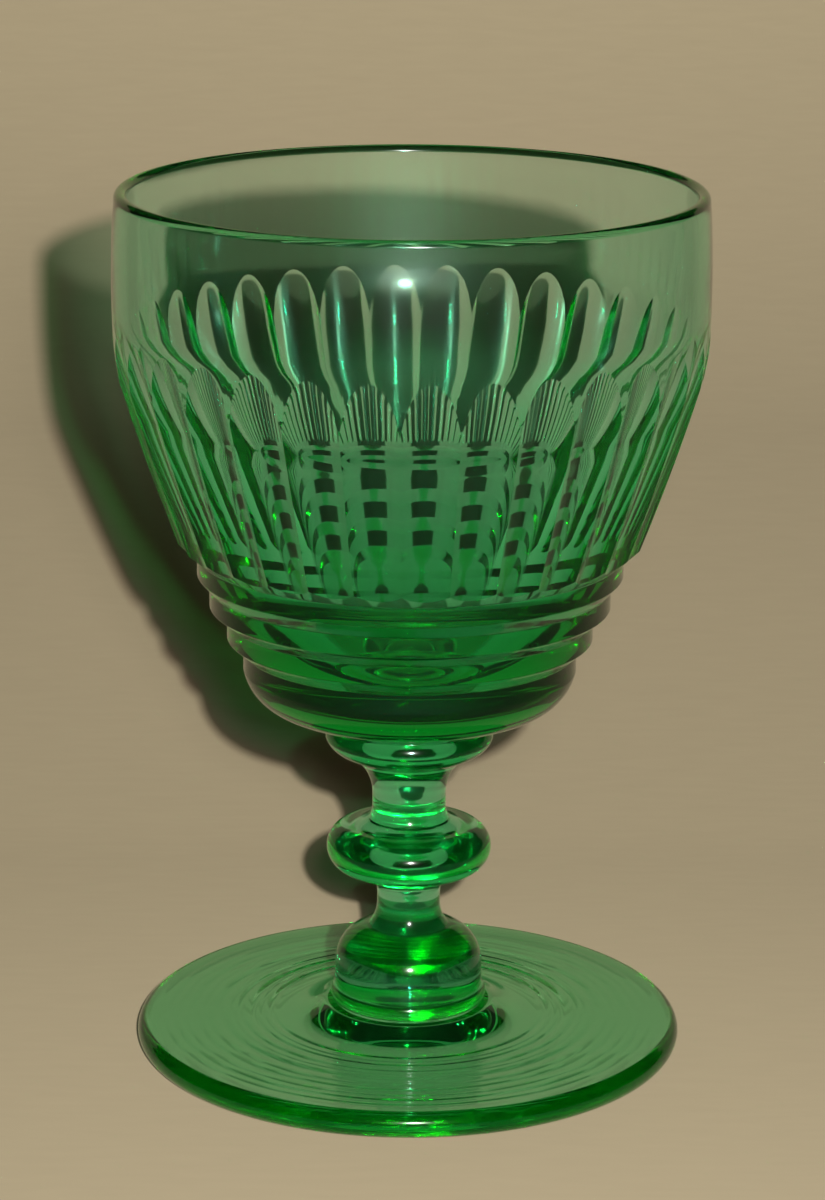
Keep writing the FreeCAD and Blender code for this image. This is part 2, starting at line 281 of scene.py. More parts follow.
@dataclass(frozen=True)
class GlassFinish:
    """Polished glass, tinted in the mass.

    Attributes:
        name: Name of the material.
        tint: What the glass lets through, as the colour of its absorption.
        depth: How strongly it absorbs, per metre.
        lamp_share: Share of lamp light that each surface passes when it meets it squarely.
        lamp_share_behind: The same for light that then reaches the eye through glass, as the eye
            and the lamp are close together and the glass bends both alike.
        glance: Colour of what its surface mirrors when met squarely.
        low_shade: What is left of lamp_share low in the piece, where the glass is thick.
        low_behind: What is left of lamp_share_behind there.
        low_span: Heights between which the glass goes from thick to thin, in metres above the table.
        low_painted_shade: Painted shade: what a surface low in the piece passes of what is seen through it,
            so that part looks darker.
        low_painted_shade_span: Heights between which that painted shade ends, in metres above the table.
        wave_size: Spacing of the hand-made waves in its surface, per metre.
        wave_height: Height of those waves, in metres.
    """

    name: str
    tint: tuple[float, float, float] = (0.0, 0.94, 0.57)
    depth: float = 138.0
    lamp_share: float = 0.86
    lamp_share_behind: float = 1.0
    glance: tuple[float, float, float] = (0.05, 1.0, 0.6)
    low_shade: tuple[float, float, float] = WHITE
    low_behind: float = 1.0
    low_span: tuple[float, float] = (0.0, 1.0)
    low_painted_shade: tuple[float, float, float] = WHITE
    low_painted_shade_span: tuple[float, float] = (0.0, 1.0)
    wave_size: float = 60.0
    wave_height: float = 0.03 * MM

    INDEX = 1.5
    EDGE_SHARE = 0.18
    EDGE_BLEND = 0.35
    # Painted light: a green tint on the rim faces, for the light that the rim guides along its wall.
    RIM_PAINTED_LIGHT = (0.45, 1.0, 0.6)
    WORN_SHARE = 0.15
    WORN_ROUGHNESS = 0.15
    WAVE_DETAIL = 2.5

    def material(self) -> bpy.types.Material:
        """Make the material.

        Returns:
            The material.
        """
        made = bpy.data.materials.new(self.name)
        made.use_nodes = True
        tree = made.node_tree
        tree.nodes.clear()
        path = tree.nodes.new("ShaderNodeLightPath")
        clear = tree.nodes.new("ShaderNodeBsdfTransparent")
        tree.links.new(self.lamp_colour(tree, path), clear.inputs["Color"])
        pick = tree.nodes.new("ShaderNodeMixShader")
        tree.links.new(path.outputs["Is Shadow Ray"], pick.inputs["Fac"])
        tree.links.new(self.surface(tree), pick.inputs[1])
        tree.links.new(clear.outputs["BSDF"], pick.inputs[2])
        mass = tree.nodes.new("ShaderNodeVolumeAbsorption")
        mass.inputs["Color"].default_value = (*self.tint, 1.0)
        mass.inputs["Density"].default_value = self.depth
        output = tree.nodes.new("ShaderNodeOutputMaterial")
        tree.links.new(pick.outputs["Shader"], output.inputs["Surface"])
        tree.links.new(mass.outputs["Volume"], output.inputs["Volume"])
        return made

    def surface(self, tree: bpy.types.NodeTree) -> bpy.types.NodeSocket:
        """Add the polished, slightly worn surface, which bends no light at a joint.

        Args:
            tree: Node tree of the material.

        Returns:
            The socket that gives the shader.
        """
        glass = tree.nodes.new("ShaderNodeBsdfPrincipled")
        glass.inputs["Roughness"].default_value = 0.0
        glass.inputs["Transmission Weight"].default_value = 1.0
        glass.inputs["Specular Tint"].default_value = (*self.glance, 1.0)
        glass.inputs["Coat Weight"].default_value = self.WORN_SHARE
        glass.inputs["Coat Roughness"].default_value = self.WORN_ROUGHNESS
        joint = tree.nodes.new("ShaderNodeAttribute")
        joint.attribute_name = JOINT_MARK
        index = tree.nodes.new("ShaderNodeMapRange")
        index.inputs["To Min"].default_value = self.INDEX
        index.inputs["To Max"].default_value = 1.0
        tree.links.new(joint.outputs["Fac"], index.inputs["Value"])
        tree.links.new(index.outputs["Result"], glass.inputs["IOR"])
        tree.links.new(self.painted_shade_and_rim_light(tree), glass.inputs["Base Color"])
        tree.links.new(self.surface_bump(tree), glass.inputs["Normal"])
        return glass.outputs["BSDF"]

    def height_share(self, tree: bpy.types.NodeTree, span: tuple[float, float]) -> bpy.types.NodeSocket:
        """Add how far up a stretch of height a point lies.

        Args:
            tree: Node tree of the material.
            span: Bottom and top of the stretch, in metres above the table.

        Returns:
            The socket that gives 0 below the stretch and 1 above it.
        """
        place = tree.nodes.new("ShaderNodeTexCoord")
        apart = tree.nodes.new("ShaderNodeSeparateXYZ")
        share = tree.nodes.new("ShaderNodeMapRange")
        share.inputs["From Min"].default_value = span[0]
        share.inputs["From Max"].default_value = span[1]
        tree.links.new(place.outputs["Object"], apart.inputs["Vector"])
        tree.links.new(apart.outputs["Z"], share.inputs["Value"])
        return share.outputs["Result"]

    def painted_shade_and_rim_light(self, tree: bpy.types.NodeTree) -> bpy.types.NodeSocket:
        """Add the colour of the surface: clear, but for painted shade low in the piece and painted green
        light on the rim.

        Args:
            tree: Node tree of the material.

        Returns:
            The socket that gives the colour.
        """
        # Painted shade: low in the piece the surface passes less, so the piece looks darker towards the
        # bottom.
        painted_shade_mix = tree.nodes.new("ShaderNodeMixRGB")
        painted_shade_mix.inputs[1].default_value = (*self.low_painted_shade, 1.0)
        painted_shade_mix.inputs[2].default_value = (*WHITE, 1.0)
        tree.links.new(self.height_share(tree, self.low_painted_shade_span), painted_shade_mix.inputs["Fac"])
        # Painted light: the rim faces take a green tint for the light that the rim guides.
        rim = tree.nodes.new("ShaderNodeAttribute")
        rim.attribute_name = RIM_MARK
        body = tree.nodes.new("ShaderNodeMixRGB")
        body.inputs[2].default_value = (*self.RIM_PAINTED_LIGHT, 1.0)
        tree.links.new(rim.outputs["Fac"], body.inputs["Fac"])
        tree.links.new(painted_shade_mix.outputs["Color"], body.inputs[1])
        return body.outputs["Color"]

    def lamp_colour(self, tree: bpy.types.NodeTree, path: bpy.types.Node) -> bpy.types.NodeSocket:
        """Add what a surface passes of the light on its way from the lamp.

        Args:
            tree: Node tree of the material.
            path: Its Light Path node.

        Returns:
            The socket that gives the colour.
        """
        edge = tree.nodes.new("ShaderNodeLayerWeight")
        edge.inputs["Blend"].default_value = self.EDGE_BLEND
        through = tree.nodes.new("ShaderNodeMapRange")
        through.inputs["To Min"].default_value = self.lamp_share
        through.inputs["To Max"].default_value = self.EDGE_SHARE
        tree.links.new(edge.outputs["Facing"], through.inputs["Value"])
        thinness = self.height_share(tree, self.low_span)
        shade = tree.nodes.new("ShaderNodeMixRGB")
        shade.inputs[1].default_value = (*self.low_shade, 1.0)
        shade.inputs[2].default_value = (*WHITE, 1.0)
        tree.links.new(thinness, shade.inputs["Fac"])
        near = tree.nodes.new("ShaderNodeMixRGB")
        near.blend_type = "MULTIPLY"
        near.inputs["Fac"].default_value = 1.0
        tree.links.new(shade.outputs["Color"], near.inputs[1])
        tree.links.new(through.outputs["Result"], near.inputs[2])
        far = tree.nodes.new("ShaderNodeMapRange")
        far.inputs["To Min"].default_value = self.low_behind * self.lamp_share_behind
        far.inputs["To Max"].default_value = self.lamp_share_behind
        tree.links.new(thinness, far.inputs["Value"])
        passed = tree.nodes.new("ShaderNodeMixRGB")
        tree.links.new(path.outputs["Transmission Depth"], passed.inputs["Fac"])
        tree.links.new(near.outputs["Color"], passed.inputs[1])
        tree.links.new(far.outputs["Result"], passed.inputs[2])
        return passed.outputs["Color"]

    def surface_bump(self, tree: bpy.types.NodeTree) -> bpy.types.NodeSocket:
        """Add the shallow waves of hand-made glass.

        Args:
            tree: Node tree of the material.

        Returns:
            The socket that gives the bumped normal.
        """
        place = tree.nodes.new("ShaderNodeTexCoord")
        waves = tree.nodes.new("ShaderNodeTexNoise")
        waves.inputs["Scale"].default_value = self.wave_size
        waves.inputs["Detail"].default_value = self.WAVE_DETAIL
        tree.links.new(place.outputs["Object"], waves.inputs["Vector"])
        bump = tree.nodes.new("ShaderNodeBump")
        bump.inputs["Distance"].default_value = self.wave_height
        tree.links.new(waves.outputs["Fac"], bump.inputs["Height"])
        return bump.outputs["Normal"]


@dataclass
class Stem:
    """The turned pieces below the bowl, from the foot up.

    Attributes are sizes in metres, and each height is that of the piece itself.  The tool rings
    are given by radius, width and depth.  fine and wide are numbers of flats round the axis.
    """

    foot_radius: float = 41.0 * MM
    foot_edge_thickness: float = 4.0 * MM
    foot_edge_middle: float = 2.1 * MM
    foot_rest_inner_radius: float = 27.0 * MM
    foot_hollow_depth: float = 1.2 * MM
    foot_web_radius: float = 19.0 * MM
    foot_web_thickness: float = 4.5 * MM
    foot_hub_radius: float = 12.6 * MM
    foot_rest_soft: float = 0.6 * MM
    foot_hub_soft: float = 0.4 * MM
    collar_swell: float = 0.6 * MM
    dome_radius: float = 11.1 * MM
    dome_wall_height: float = 3.2 * MM
    dome_top_radius: float = 6.0 * MM
    lower_shank_radius: float = 4.75 * MM
    lower_waist_bottom: float = 3.4 * MM
    lower_waist_top: float = 5.2 * MM
    lower_neck_radius: float = 5.6 * MM
    knop_radius: float = 12.35 * MM
    knop_neck_rise: float = 1.5 * MM
    knop_under_round: float = 3.6 * MM
    knop_over_round: float = 3.4 * MM
    upper_neck_radius: float = 6.0 * MM
    upper_shank_radius: float = 5.5 * MM
    upper_waist_bottom: float = 2.0 * MM
    upper_waist_top: float = 3.8 * MM
    upper_shank_top_radius: float = 9.4 * MM
    bowl_collar_radius: float = 12.5 * MM
    bowl_collar_edge_height: float = 2.5 * MM
    bowl_collar_under_round: float = 4.0 * MM
    bowl_collar_over_round: float = 3.0 * MM
    bowl_collar_soft: float = 0.3 * MM
    bowl_seat_radius: float = 11.8 * MM
    tool_pitch: float = 0.16 * MM
    tool_fade: float = 12.0
    tool_rings: tuple[tuple[float, float, float], ...] = (
        (20.6 * MM, 0.5 * MM, 0.12 * MM), (22.1 * MM, 0.35 * MM, 0.07 * MM), (23.3 * MM, 0.6 * MM, 0.14 * MM),
        (25.4 * MM, 0.45 * MM, 0.1 * MM), (26.6 * MM, 0.3 * MM, 0.05 * MM), (28.3 * MM, 0.8 * MM, 0.12 * MM),
        (30.6 * MM, 0.5 * MM, 0.05 * MM), (32.2 * MM, 0.7 * MM, 0.07 * MM), (34.1 * MM, 0.4 * MM, 0.04 * MM),
        (35.7 * MM, 0.6 * MM, 0.06 * MM), (37.3 * MM, 0.5 * MM, 0.05 * MM),
    )
    row: float = 0.3 * MM
    dome_row: float = 0.4 * MM
    fine: int = 256
    wide: int = 384

    def span(self, node: str) -> tuple[float, float]:
        """Height of a node's underside and top, less half a joint gap at each joint.

        Args:
            node: Name of the node.

        Returns:
            The two heights.
        """
        low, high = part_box(node)
        bottom = low.z + (JOINT_GAP / 2 if node != "foot" else 0.0)
        return bottom, high.z - JOINT_GAP / 2

    def foot(self) -> bpy.types.Object:
        """Make the foot, hollowed a little under its middle.

        Returns:
            The piece.
        """
        bottom, top = self.span("foot")
        edge_low = self.foot_edge_middle
        edge_high = self.foot_edge_thickness - self.foot_edge_middle
        section = HalfSection(0.0, bottom + self.foot_hollow_depth)
        section.arc(self.foot_rest_inner_radius, bottom, Bend.IN,
                    tangent_radius(self.foot_rest_inner_radius, self.foot_hollow_depth), self.foot_rest_soft)
        section.line(self.foot_radius - edge_low, bottom)
        section.arc(self.foot_radius, bottom + edge_low, Bend.OUT, edge_low)
        section.arc(self.foot_radius - edge_high, bottom + self.foot_edge_thickness, Bend.OUT, edge_high)
        self.tool(section, Vector((self.foot_web_radius, bottom + self.foot_web_thickness)))
        hub_run = self.foot_web_radius - self.foot_hub_radius
        hub_rise = top - bottom - self.foot_web_thickness
        section.arc(self.foot_hub_radius, top, Bend.IN, tangent_radius(hub_run, hub_rise), self.foot_hub_soft)
        section.line(0.0, top)
        piece = turned("foot_glass", section, self.wide)
        mark_joints(piece, [top])
        return piece

    def tool(self, section: HalfSection, end: Vector) -> None:
        """Go straight to a point over the shallow rings that the shaping tool left.

        Args:
            section: The half section so far.
            end: The point.
        """
        start = section.points[-1].copy()
        steps = math.ceil((end - start).length / self.tool_pitch)
        for step in range(1, steps):
            share = step / steps
            point = start.lerp(end, share)
            depth = 0.0
            for radius, width, height in self.tool_rings:
                depth += height * math.exp(-(((point.x - radius) / width) ** 2))
            fade = min(1.0, self.tool_fade * share, self.tool_fade * (1 - share))
            section.line(point.x, point.y - depth * fade)
        section.line(end.x, end.y)

    def collar(self) -> bpy.types.Object:
        """Make the pale ring on the foot.

        Returns:
            The piece.
        """
        bottom, top = self.span("foot_collar")
        middle = (bottom + top) / 2
        bulge = tangent_radius(middle - bottom, self.collar_swell)
        section = HalfSection(0.0, bottom)
        section.line(self.dome_radius, bottom)
        section.arc(self.dome_radius + self.collar_swell, middle, Bend.OUT, bulge)
        section.arc(self.dome_radius, top, Bend.OUT, bulge)
        section.line(0.0, top)
        piece = turned("foot_collar_glass", section, self.fine)
        mark_joints(piece, [bottom, top])
        return piece

    def dome(self) -> bpy.types.Object:
        """Make the dome at the bottom of the stem.

        Returns:
            The piece.
        """
        bottom, top = self.span("base_dome")
        wall_top = bottom + self.dome_wall_height
        section = HalfSection(0.0, bottom)
        section.line(self.dome_radius, bottom)
        section.line(self.dome_radius, wall_top, longest=self.dome_row)
        section.arc(self.dome_top_radius, top, Bend.OUT,
                    tangent_radius(top - wall_top, self.dome_radius - self.dome_top_radius),
                    longest=self.dome_row)
        section.line(0.0, top)
        piece = turned("base_dome_glass", section, self.fine)
        mark_joints(piece, [bottom, top])
        return piece

    def lower_shank(self) -> bpy.types.Object:
        """Make the waist between the dome and the knop.

        Returns:
            The piece.
        """
        bottom, top = self.span("lower_shank")
        waist_low, waist_high = bottom + self.lower_waist_bottom, bottom + self.lower_waist_top
        section = HalfSection(0.0, bottom)
        section.line(self.dome_top_radius, bottom)
        section.arc(self.lower_shank_radius, waist_low, Bend.IN,
                    tangent_radius(self.lower_waist_bottom, self.dome_top_radius - self.lower_shank_radius),
                    longest=self.row)
        section.line(self.lower_shank_radius, waist_high, longest=self.row)
        section.arc(self.lower_neck_radius, top, Bend.IN,
                    tangent_radius(top - waist_high, self.lower_neck_radius - self.lower_shank_radius),
                    longest=self.row)
        section.line(0.0, top)
        piece = turned("lower_shank_glass", section, self.fine)
        mark_joints(piece, [bottom, top])
        return piece

    def knop(self) -> bpy.types.Object:
        """Make the knop: a flattened ball with a neck above and below.

        Returns:
            The piece.
        """
        bottom, top = self.span("stem_knop")
        under = self.knop_radius - self.knop_under_round
        over = self.knop_radius - self.knop_over_round
        low = bottom + self.knop_neck_rise
        widest = low + self.knop_under_round
        crest = widest + self.knop_over_round
        section = HalfSection(0.0, bottom)
        section.line(self.lower_neck_radius, bottom)
        section.arc(under, low, Bend.IN, tangent_radius(under - self.lower_neck_radius, self.knop_neck_rise),
                    longest=self.row)
        section.arc(self.knop_radius, widest, Bend.OUT, self.knop_under_round, longest=self.row)
        section.arc(over, crest, Bend.OUT, self.knop_over_round, longest=self.row)
        section.arc(self.upper_neck_radius, top, Bend.IN,
                    tangent_radius(over - self.upper_neck_radius, top - crest), longest=self.row)
        section.line(0.0, top)
        piece = turned("stem_knop_glass", section, self.fine)
        mark_joints(piece, [bottom, top])
        return piece

    def upper_shank(self) -> bpy.types.Object:
        """Make the shank that spreads up to the bowl collar.

        Returns:
            The piece.
        """
        bottom, top = self.span("upper_shank")
        waist_low, waist_high = bottom + self.upper_waist_bottom, bottom + self.upper_waist_top
        section = HalfSection(0.0, bottom)
        section.line(self.upper_neck_radius, bottom)
        section.arc(self.upper_shank_radius, waist_low, Bend.IN,
                    tangent_radius(self.upper_waist_bottom, self.upper_neck_radius - self.upper_shank_radius),
                    longest=self.row)
        section.line(self.upper_shank_radius, waist_high, longest=self.row)
        section.arc(self.upper_shank_top_radius, top, Bend.IN,
                    tangent_radius(top - waist_high, self.upper_shank_top_radius - self.upper_shank_radius),
                    longest=self.row)
        section.line(0.0, top)
        piece = turned("upper_shank_glass", section, self.fine)
        mark_joints(piece, [bottom, top])
        return piece

    def bowl_collar(self) -> bpy.types.Object:
        """Make the rounded disc that the bowl sits on.

        Returns:
            The piece.
        """
        bottom, top = self.span("bowl_collar")
        edge = bottom + self.bowl_collar_edge_height
        section = HalfSection(0.0, bottom)
        section.line(self.upper_shank_top_radius, bottom)
        section.arc(self.bowl_collar_radius, edge, Bend.OUT, self.bowl_collar_under_round,
                    self.bowl_collar_soft, longest=self.row)
        section.arc(self.bowl_seat_radius, top, Bend.OUT, self.bowl_collar_over_round, longest=self.row)
        section.line(0.0, top)
        piece = turned("bowl_collar_glass", section, self.fine)
        mark_joints(piece, [bottom, top])
        return piece

    def build(self) -> dict[str, bpy.types.Object]:
        """Make every piece of the stem.

        Returns:
            The pieces by the node that each one stands for.
        """
        return {
            "foot": self.foot(),
            "foot_collar": self.collar(),
            "base_dome": self.dome(),
            "lower_shank": self.lower_shank(),
            "stem_knop": self.knop(),
            "upper_shank": self.upper_shank(),
            "bowl_collar": self.bowl_collar(),
        }


@dataclass
class Bowl:
    """The bowl: stepped base, band of flutes, plain rim.

    Attributes are sizes in metres, and heights are above the bowl's seat.  The rows are the
    longest stretches of outline with no ring of points on them.  Between the two still heights
    and inside the band, rows slide to the ends of the flutes.  inset keeps the finished bowl
    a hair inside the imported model.
    """

    seat_radius: float = 11.8 * MM
    rim_radius: float = 42.9 * MM
    rim_wall: float = 2.0 * MM
    shoulder_radius: float = 43.2 * MM
    shoulder_height: float = 58.1 * MM
    band_radius: float = 41.25 * MM
    band_height: float = 48.3 * MM
    band_foot_radius: float = 34.3 * MM
    band_foot_height: float = 28.6 * MM
    barrel_sweep: float = 180.0 * MM
    shoulder_sweep: float = 38.0 * MM
    band_sweep: float = 400.0 * MM
    step_radii: tuple[float, ...] = (24.7 * MM, 27.1 * MM, 29.65 * MM, 31.45 * MM)
    step_top_height: float = 26.3 * MM
    step_pitch: float = 4.9 * MM
    step_land: float = 2.9 * MM
    base_under_radius: float = 18.6 * MM
    base_under_height: float = 2.7 * MM
    base_under_sweep: float = 25.0 * MM
    base_round: float = 7.5 * MM
    inner_barrel_sweep: float = 178.0 * MM
    shoulder_wall: float = 2.1 * MM
    shoulder_wall_height: float = 61.1 * MM
    inner_shoulder_sweep: float = 30.0 * MM
    band_wall: float = 4.65 * MM
    inner_band_sweep: float = 160.0 * MM
    band_foot_wall: float = 8.1 * MM
    well_radius: float = 14.4 * MM
    well_height: float = 14.9 * MM
    well_sweep: float = 63.0 * MM
    floor_thickness: float = 8.9 * MM
    cut_edge: float = 0.15 * MM
    flute_count: int = 32
    flute_turn: float = math.radians(3.65)
    flute_top_height: float = 60.3 * MM
    flute_depth: float = 0.91 * MM
    flute_section: float = 9.0 * MM
    flute_sweep: float = 340.0 * MM
    flute_flats: int = 12
    still_middle: float = 45.0 * MM
    still_top: float = 65.5 * MM
    arch_row_height: float = 57.0 * MM
    arch_search: float = 50.0 * MM
    scallop_search: float = 35.0 * MM
    band_skin: float = 1.0 * MM
    flute_row: float = 0.8 * MM
    ledge_row: float = 0.5 * MM
    plain_row: float = 1.2 * MM
    inside_row: float = 1.6 * MM
    well_row: float = 1.4 * MM
    rim_depth: float = 1.2 * MM
    inset: float = 0.9995
    seat: float = field(init=False)
    height: float = field(init=False)
    outside: np.ndarray = field(init=False)

    CLOSE = 1e-7
    HALVINGS = 40
    WHEEL_ROUNDS = 6

    def __post_init__(self) -> None:
        """Take the bowl's seat and height from its node, and the outline of its outside."""
        low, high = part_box("bowl")
        self.seat = low.z
        self.height = high.z - low.z
        outline = np.array(self.section().finished())
        self.outside = outline[: int(np.argmax(outline[:, 1])) + 1]

    def section(self) -> HalfSection:
        """Draw the half section of the bowl before its flutes are cut.

        Returns:
            The half section, its heights above the seat.
        """
        section = HalfSection(0.0, JOINT_GAP / 2)
        section.line(self.seat_radius, JOINT_GAP / 2)
        section.arc(self.base_under_radius, self.base_under_height, Bend.OUT, self.base_under_sweep)
        top = self.step_top_height
        lowest = self.step_radii[0]
        bottom = top - 3 * self.step_pitch - self.step_land
        section.arc(lowest, bottom, Bend.OUT, self.base_round, self.cut_edge)
        for step, radius in enumerate(self.step_radii):
            land_top = top - (len(self.step_radii) - 1 - step) * self.step_pitch
            section.line(radius, land_top - self.step_land, self.cut_edge)
            section.line(radius, land_top, self.cut_edge)
        section.line(self.band_foot_radius, self.band_foot_height, longest=self.ledge_row)
        section.arc(self.band_radius, self.band_height, Bend.OUT, self.band_sweep, longest=self.flute_row)
        section.arc(self.shoulder_radius, self.shoulder_height, Bend.OUT, self.shoulder_sweep,
                    longest=self.flute_row)
        rim = self.rim_wall / 2
        section.arc(self.rim_radius, self.height - rim, Bend.OUT, self.barrel_sweep,
                    longest=self.plain_row)
        section.arc(self.rim_radius - rim, self.height, Bend.OUT, rim)
        section.arc(self.rim_radius - self.rim_wall, self.height - rim, Bend.OUT, rim)
        section.arc(self.shoulder_radius - self.shoulder_wall, self.shoulder_wall_height, Bend.IN,
                    self.inner_barrel_sweep, longest=self.inside_row)
        section.arc(self.band_radius - self.band_wall, self.band_height, Bend.IN, self.inner_shoulder_sweep,
                    longest=self.plain_row)
        section.arc(self.band_foot_radius - self.band_foot_wall, self.band_foot_height, Bend.IN,
                    self.inner_band_sweep, longest=self.inside_row)
        section.arc(self.well_radius, self.well_height, Bend.IN, self.well_sweep, longest=self.well_row)
        floor_sweep = tangent_radius(self.well_radius, self.well_height - self.floor_thickness)
        section.arc(0.0, self.floor_thickness, Bend.IN, floor_sweep, longest=self.plain_row)
        return section

    def wheel_radius(self, offset: np.ndarray, height: np.ndarray) -> np.ndarray:
        """Distance from the axis of the surface that the cutting wheel leaves.

        Args:
            offset: Angle from the middle of the flute.
            height: Height above the seat.

        Returns:
            The distance, for each pair of angle and height.
        """
        low = Vector((self.band_foot_radius - self.flute_depth, self.band_foot_height))
        high = Vector((self.shoulder_radius, self.flute_top_height))
        run = high - low
        reach = math.sqrt(self.flute_sweep ** 2 - run.length_squared / 4)
        centre = (low + high) / 2 + Vector((-run.y, run.x)).normalized() * reach
        found = np.full(np.broadcast(offset, height).shape, self.band_radius)
        for _ in range(self.WHEEL_ROUNDS):
            aside = found * np.sin(offset)
            spoke = self.flute_sweep + self.flute_section - np.sqrt(self.flute_section ** 2 - aside ** 2)
            found = (centre.x + np.sqrt(spoke ** 2 - (height - centre.y) ** 2)) / np.cos(offset)
        return found

    def turned_radius(self, height: np.ndarray) -> np.ndarray:
        """Distance from the axis of the outside before the flutes are cut, at each height."""
        return np.interp(height, self.outside[:, 1], self.outside[:, 0])

    def meeting(self, offset: np.ndarray, low: float, high: float) -> np.ndarray:
        """Height where the wheel's surface leaves the turned one.

        Args:
            offset: Angle from the middle of the flute.
            low: A height on one side of it.
            high: A height on the other side.

        Returns:
            The height, for each angle.
        """
        under, over = np.full(len(offset), low), np.full(len(offset), high)
        rising = self.wheel_radius(offset, over) > self.turned_radius(over)
        for _ in range(self.HALVINGS):
            middle = (under + over) / 2
            above = (self.wheel_radius(offset, middle) > self.turned_radius(middle)) == rising
            over = np.where(above, middle, over)
            under = np.where(above, under, middle)
        return (under + over) / 2

    def cut_flutes(self, piece: bpy.types.Object) -> None:
        """Cut the flutes: every row of the band moves in to the wheel's surface.

        The rows are slid up and down first, so that one lies along the arched tops and another
        along the scalloped foot of the flutes.

        Args:
            piece: The turned bowl, heights above its seat.
        """
        mesh = piece.data
        place = np.empty(len(mesh.vertices) * 3)
        mesh.vertices.foreach_get("co", place)
        place = place.reshape(-1, 3)
        radius = np.hypot(place[:, 0], place[:, 1])
        angle = np.arctan2(place[:, 1], place[:, 0])
        height = place[:, 2]
        pitch = math.tau / self.flute_count
        offset = angle - np.round(angle / pitch) * pitch

        ledge = self.step_top_height
        arch_row = float(min(self.outside[:, 1], key=lambda found: abs(found - self.arch_row_height)))
        arch = self.meeting(offset, self.arch_search, self.still_top)
        scallop = self.meeting(offset, self.scallop_search, ledge)
        banded = (height > ledge + self.CLOSE) & (height < self.still_top)
        banded &= radius > self.turned_radius(height) - self.band_skin
        rows = (ledge, self.band_foot_height, self.still_middle, arch_row, self.still_top)
        slid_to = (ledge, scallop, self.still_middle, arch, self.still_top)
        new = height.copy()
        for index in range(len(rows) - 1):
            low, high = rows[index], rows[index + 1]
            here = banded & (height >= low - self.CLOSE) & (height <= high + self.CLOSE)
            slid = slid_to[index] + (height - low) / (high - low) * (slid_to[index + 1] - slid_to[index])
            new[here] = slid[here]

        fluted = (height >= self.band_foot_height - self.CLOSE) & (height <= arch_row + self.CLOSE)
        cut = np.where(fluted, self.wheel_radius(offset, new), self.turned_radius(new))
        scale = np.where(banded, cut, radius) / np.maximum(radius, 1e-9)
        place[:, 0] *= scale
        place[:, 1] *= scale
        place[:, 2] = new
        mesh.vertices.foreach_set("co", place.ravel())
        mesh.update()

    def build(self) -> bpy.types.Object:
        """Turn the bowl, cut its flutes and set it on its seat.

        Returns:
            The bowl.
        """
        piece = turned("bowl_glass", self.section(), self.flute_count * self.flute_flats)
        self.cut_flutes(piece)
        piece.scale = (self.inset, self.inset, 1.0)
        piece.rotation_euler.z = self.flute_turn
        piece.location.z = self.seat
        deselect_all()
        piece.select_set(True)
        bpy.context.view_layer.objects.active = piece
        bpy.ops.object.transform_apply(location=True, rotation=True, scale=True)
        mark_joints(piece, [self.seat])
        mark_rim(piece, self.seat + self.height - self.rim_depth)
        return piece


